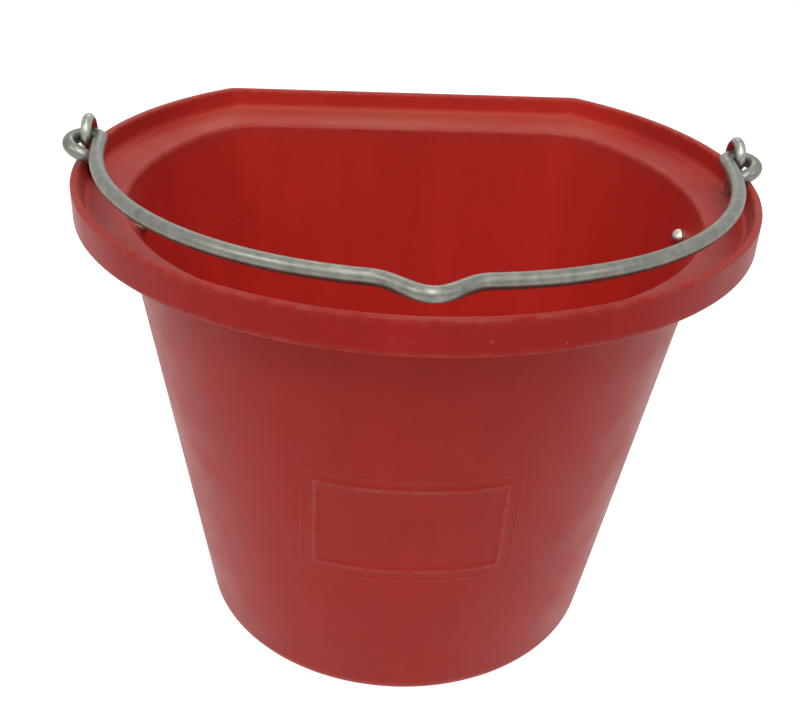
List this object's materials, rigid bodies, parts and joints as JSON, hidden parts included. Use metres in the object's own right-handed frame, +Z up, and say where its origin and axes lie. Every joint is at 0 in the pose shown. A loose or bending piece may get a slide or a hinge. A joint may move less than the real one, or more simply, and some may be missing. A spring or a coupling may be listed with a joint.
{
  "type": "feed bucket",
  "caption": "Flat-backed round-fronted plastic stable feed bucket with a lipped rim and a swinging wire bail held in two rod eyes.",
  "frame": {"origin": "floor level under the middle of the bucket and its bail", "axes": "+Z up, +Y out of the flat back, -Y out of the round front, +X to the right seen from the front; the bail lies forward over the mouth"},
  "size_m": [0.4104, 0.3572, 0.3313],
  "materials": {
    "red_plastic": "semi-gloss moulded polyethylene",
    "galvanised_wire": "dull galvanised",
    "bright_zinc": "bright zinc plate"
  },
  "bodies": {
    "bucket": {"bucket_shell": "red_plastic", "eye_left": "bright_zinc", "eye_right": "bright_zinc", "bolt_left": "bright_zinc", "bolt_right": "bright_zinc", "nut_left": "bright_zinc", "nut_right": "bright_zinc"},
    "bail": {"bail_handle": "galvanised_wire"}
  },
  "joints": [
    {"name": "bail_swing", "type": "hinge", "parent": "bucket", "child": "bail", "pos_m": [0, 0.02175, 0.3175], "axis": [-1, 0, 0.0095], "range_deg": [-1.5, 183]}
  ]
}
